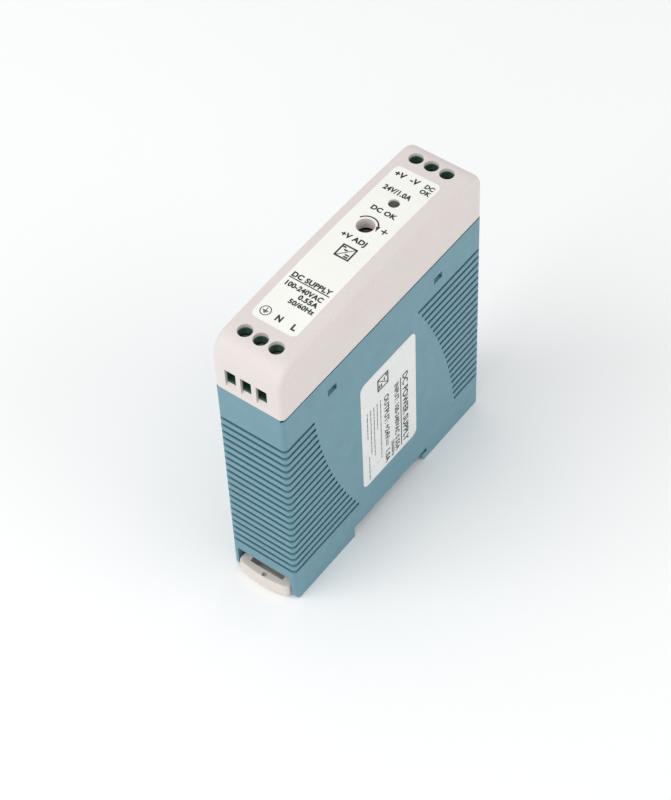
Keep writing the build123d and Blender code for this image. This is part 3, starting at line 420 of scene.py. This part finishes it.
def letters(words, bold, spaced):
    """Plain letters as a mesh about one unit tall, with their extent and the height of a capital."""
    sizes = {}
    for key, text in (("cap", "H"), ("all", words)):
        curve = bpy.data.curves.new("letters", "FONT")
        curve.body = text
        curve.extrude = 0.05
        curve.offset = bold
        curve.space_character = spaced
        curve.resolution_u = 5
        temporary = bpy.data.objects.new("letters", curve)
        bpy.context.scene.collection.objects.link(temporary)
        solid = temporary.evaluated_get(bpy.context.evaluated_depsgraph_get())
        sizes[key] = bpy.data.meshes.new_from_object(solid)
        bpy.data.objects.remove(temporary)
        bpy.data.curves.remove(curve)
    cap = max(vertex.co.y for vertex in sizes["cap"].vertices)
    bpy.data.meshes.remove(sizes["cap"])
    spots = [vertex.co for vertex in sizes["all"].vertices]
    low = Vector((min(s.x for s in spots), 0, 0))
    high = Vector((max(s.x for s in spots), 0, 0))
    return {"mesh": sizes["all"], "low": low, "high": high, "cap": cap}


# ---------------------------------------------------------------- printed marks


def converter_symbol(marks, u, v, size):
    """The plain symbol of a converter: a box cut by a diagonal, with a wave in one half and the
    two lines of direct current in the other."""
    half, line = size / 2, size * 0.11
    outer, inner = half + line / 2, half - line / 2
    for side in (-1, 1):
        marks.bar(u - outer, u + outer, v + side * half - line / 2, v + side * half + line / 2)
        marks.bar(u + side * half - line / 2, u + side * half + line / 2, v - inner, v + inner)
    lean = line * 0.7
    low_end = [(u - inner, v - inner), (u - inner + lean, v - inner)]
    high_end = [(u + inner, v + inner), (u + inner - lean, v + inner)]
    marks.prism(low_end + high_end)
    wave = size * 0.11
    for side, start in ((-1, 20), (1, 200)):
        marks.arc(u - half * 0.42 + side * wave, v + half * 0.48, wave, line, start, start + 140, 10)
    for offset in (-0.09, 0.09):
        low = v - half * 0.5 + offset * size
        marks.bar(u + half * 0.12, u + half * 0.75, low - line / 2, low + line / 2)


def earth_symbol(marks, u, v, radius):
    """Protective earth: a stem over three bars, in a ring."""
    line = 0.24
    marks.arc(u, v, radius, line, 0, 360, 40)
    marks.bar(u - line / 2, u + line / 2, v - radius * 0.05, v + radius * 0.72)
    for k, half in enumerate((0.62, 0.40, 0.18)):
        top = v - radius * (0.02 + 0.22 * k)
        marks.bar(u - radius * half, u + radius * half, top - line / 2, top + line / 2)


def front_print():
    """Terminal names, lamp and trimmer names and the plain rating, on the front label."""
    top = box_mm("front_label")[1].z
    marks = Print((0, MIDDLE_Y, top), (1, 0, 0), (0, 1, 0), CROWN_R)
    marks.text("+V", -5.05, 29.85, 2.0, wide=0.98)
    marks.text("-V", -0.35, 29.95, 2.0, wide=0.98)
    marks.text("DC", 4.35, 30.15, 1.55, wide=0.92)
    marks.text("OK", 4.4, 27.95, 1.5, wide=0.97)
    marks.text("24V/1.0A", -1.75, 23.85, 1.8, wide=0.88)
    marks.text("DC OK", -0.3, 15.7, 1.65, wide=1.03)
    marks.text("+V ADJ", -1.0, 3.3, 1.7, wide=1.06)
    turning_arrow(marks)
    converter_symbol(marks, 0.1, -1.9, 4.3)
    marks.text("DC SUPPLY", -0.6, -15.5, 1.65, wide=1.04)
    marks.bar(-7.1, 5.9, -16.98, -16.68)
    marks.text("100-240VAC", -0.65, -18.8, 1.65, wide=0.96)
    marks.text("0.55A", 2.3, -21.05, 1.6, wide=1.07)
    marks.text("50/60Hz", 1.9, -23.4, 1.55, wide=1.03)
    earth_symbol(marks, -5.05, -29.5, 1.5)
    marks.text("N", -0.5, -29.65, 2.0, bold=0.045, wide=0.9)
    marks.text("L", 4.55, -29.9, 2.0, bold=0.045)
    marks.finish("front_print", INK_BLACK)


def turning_arrow(marks):
    """Arrow round the trimmer's hole, clockwise to a plus sign."""
    low, high = box_mm("trimmer_rotor")
    u, v = (low.x + high.x) / 2, (low.y + high.y) / 2 - MIDDLE_Y
    radius, line = 3.45, 0.42
    marks.arc(u, v, radius, line, 18, 152, 30)
    tip, base = math.radians(-6), math.radians(26)
    tip_at = (u + radius * math.cos(tip), v + radius * math.sin(tip))
    sides = [(u + r * math.cos(base), v + r * math.sin(base)) for r in (radius + 0.6, radius - 0.6)]
    marks.prism([tip_at, *sides])
    reach, half, at = 1.0, 0.2, (u + 5.5, v + 0.85)
    marks.bar(at[0] - reach, at[0] + reach, at[1] - half, at[1] + half)
    marks.bar(at[0] - half, at[0] + half, at[1] - reach, at[1] + reach)


def small_lines(marks):
    """Lines of print too small to read, as strings of short dashes."""
    rows = ((-3.6, 48.5, 22.5), (-5.2, 48.5, 37.0), (-6.7, 48.5, 27.0))
    rows += ((-8.2, 48.5, 29.0), (-9.8, 48.5, 37.2), (-9.4, 29.0, 18.5))
    for number, (v, start, end) in enumerate(rows):
        z, word = start, 0
        while z > end:
            length = 0.9 + 0.55 * ((number * 5 + word * 3) % 4)
            marks.bar(-z, -max(z - length, end), v - SMALL_WIDE, v + SMALL_WIDE)
            z -= length + 0.35
            word += 1


def side_print():
    """The plain ratings on the side plate, which read from the front towards the rail."""
    out = box_mm("side_label")[1].x
    marks = Print((out, MIDDLE_Y, REAR_Z), (0, 0, -1), (0, 1, 0))
    marks.text("DC POWER SUPPLY", -34.0, 8.1, 2.4, bold=0.024, wide=0.97)
    marks.bar(-48.9, -18.9, 5.7, 6.08)
    marks.text("INPUT: 100-240VAC 0.55A", -33.6, 4.0, 1.9, bold=0.024, wide=0.92)
    marks.text("50/60Hz", -21.7, 1.75, 1.35, bold=0.016)
    marks.text("OUTPUT: +24V", -38.3, -0.75, 2.1, bold=0.024, wide=0.95)
    for low in (-0.7, -1.35):
        marks.bar(-28.4, -25.6, low, low + 0.25)
    marks.text("1.0A", -20.9, -0.75, 2.1, bold=0.024, wide=0.95)
    converter_symbol(marks, -55.4, -2.2, 4.6)
    marks.finish("side_print", INK_BLACK)
    fine = Print((out, MIDDLE_Y, REAR_Z), (0, 0, -1), (0, 1, 0))
    small_lines(fine)
    fine.finish("side_small_print", INK_GREY)


# ---------------------------------------------------------------- windings


def wire(name, points, radius, slot):
    """Round wire along points in millimetres, as a closed mesh with capped ends, on the case."""
    curve = bpy.data.curves.new(name, "CURVE")
    curve.dimensions = "3D"
    curve.bevel_depth = radius * MM
    curve.bevel_resolution = 3
    curve.use_fill_caps = True
    spline = curve.splines.new("POLY")
    spline.points.add(len(points) - 1)
    for point, spot in zip(spline.points, points):
        point.co = (*(Vector(spot) * MM), 1.0)
    temporary = bpy.data.objects.new(name, curve)
    bpy.context.scene.collection.objects.link(temporary)
    solid = temporary.evaluated_get(bpy.context.evaluated_depsgraph_get())
    mesh = bpy.data.meshes.new_from_object(solid)
    bpy.data.objects.remove(temporary)
    bpy.data.curves.remove(curve)
    for face in mesh.polygons:
        face.use_smooth = True
    return piece(name, mesh, MATERIALS[slot], "case")


def choke_winding(side):
    """One winding of the mains choke: close turns round one half of the ring."""
    low, high = box_mm("choke_core")
    centre = (low + high) / 2
    outside = (high.z - low.z) / 2
    inside = outside - RING_THICK
    gap = CHOKE_WIRE_R + 0.08
    middle_r, half_r = (outside + inside) / 2, (outside - inside) / 2 + gap
    half_y = (high.y - low.y) / 2 + gap
    start, swept = math.radians(26), math.radians(128)
    points = []
    for k in range(CHOKE_TURNS * TURN_STEPS + 1):
        around = start + swept * k / (CHOKE_TURNS * TURN_STEPS)
        turn = 2 * math.pi * k / TURN_STEPS
        c, s = math.cos(turn), math.sin(turn)
        squareness = 1 / max(abs(c), abs(s)) ** 0.75  # the turns hug the ring's square section
        r = middle_r + half_r * min(max(c * squareness, -1), 1)
        y = half_y * min(max(s * squareness, -1), 1)
        points.append(centre + Vector((r * math.cos(around), y, side * r * math.sin(around))))
    name = "choke_winding_upper" if side > 0 else "choke_winding_lower"
    return wire(name, points, CHOKE_WIRE_R, "enamelled_wire")


def clip_spring():
    """The clip's spring as a true coil."""
    low, high = box_mm("clip_spring")
    middle = (low + high) / 2
    coil_r = (high.x - low.x) / 2 - SPRING_WIRE_R
    start, length = low.y + SPRING_WIRE_R, high.y - low.y - 2 * SPRING_WIRE_R
    points = []
    for k in range(SPRING_TURNS * TURN_STEPS + 1):
        share, turn = k / (SPRING_TURNS * TURN_STEPS), 2 * math.pi * k / TURN_STEPS
        x, z = middle.x + coil_r * math.cos(turn), middle.z + coil_r * math.sin(turn)
        points.append((x, start + length * share, z))
    coil = wire("clip_spring_coil", points, SPRING_WIRE_R, "spring_steel")
    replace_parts(coil, "clip_spring")
    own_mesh(coil)


# ---------------------------------------------------------------- studio


def add_floor():
    mesh = bpy.data.meshes.new("floor")
    reach, height = 3.0, REAR_Z * MM
    corners = [(x * reach, y * reach, height) for x, y in ((-1, -1), (1, -1), (1, 1), (-1, 1))]
    mesh.from_pydata(corners, [], [(0, 1, 2, 3)])
    floor = bpy.data.objects.new("floor", mesh)
    bpy.context.scene.collection.objects.link(floor)
    floor.data.materials.append(pale_floor("pale_floor"))


def add_light(name, azimuth, elevation, distance, size, power):
    """A soft square light that faces the middle of the object."""
    light = bpy.data.lights.new(name, "AREA")
    light.size = size
    light.energy = power
    a, e = math.radians(azimuth), math.radians(elevation)
    aim = Vector((0, 0, 0.045))
    back = Vector((math.sin(a) * math.cos(e), -math.cos(a) * math.cos(e), math.sin(e)))
    made = bpy.data.objects.new(name, light)
    turned = back.to_track_quat("Z", "Y").to_matrix().to_4x4()
    made.matrix_world = Matrix.Translation(aim + back * distance) @ turned
    bpy.context.scene.collection.objects.link(made)


def add_world(strength):
    world = bpy.data.worlds.new("studio")
    world.use_nodes = True
    background = world.node_tree.nodes["Background"]
    background.inputs["Color"].default_value = (0.98, 0.99, 1.0, 1.0)
    background.inputs["Strength"].default_value = strength
    bpy.context.scene.world = world


def add_camera():
    """The camera looks at the case from above its lower front corner."""
    a, e = math.radians(CAMERA_AZIMUTH), math.radians(CAMERA_ELEVATION)
    back = Vector((math.sin(a) * math.cos(e), -math.cos(a) * math.cos(e), math.sin(e)))
    level = (-back).cross(Vector((0, 0, 1))).normalized()
    rise = level.cross(-back)
    roll = math.radians(CAMERA_ROLL)
    right = level * math.cos(roll) + rise * math.sin(roll)
    up = rise * math.cos(roll) - level * math.sin(roll)
    aim = Vector((0, MIDDLE_Y, (REAR_Z + CASE_HIGH.z) / 2))
    spot = aim + back * CAMERA_DISTANCE + right * CAMERA_SLIDE[0] + up * CAMERA_SLIDE[1]
    camera = bpy.data.cameras.new("camera")
    camera.sensor_width = 36.0
    camera.lens = CAMERA_LENS
    made = bpy.data.objects.new("camera", camera)
    made.matrix_world = Matrix.Translation(spot * MM) @ Matrix((right, up, back)).transposed().to_4x4()
    bpy.context.scene.collection.objects.link(made)
    bpy.context.scene.camera = made


def main():
    dress_nodes()
    front_print()
    side_print()
    for side in (-1, 1):
        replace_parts(choke_winding(side), "choke_windings")
    clip_spring()
    add_floor()
    add_world(0.75)
    add_light("key", -25, 42, 0.9, 0.7, 3.5)
    add_light("fill", 105, 28, 1.1, 0.8, 2.3)
    add_camera()
    bpy.context.scene.view_settings.view_transform = "Standard"


main()
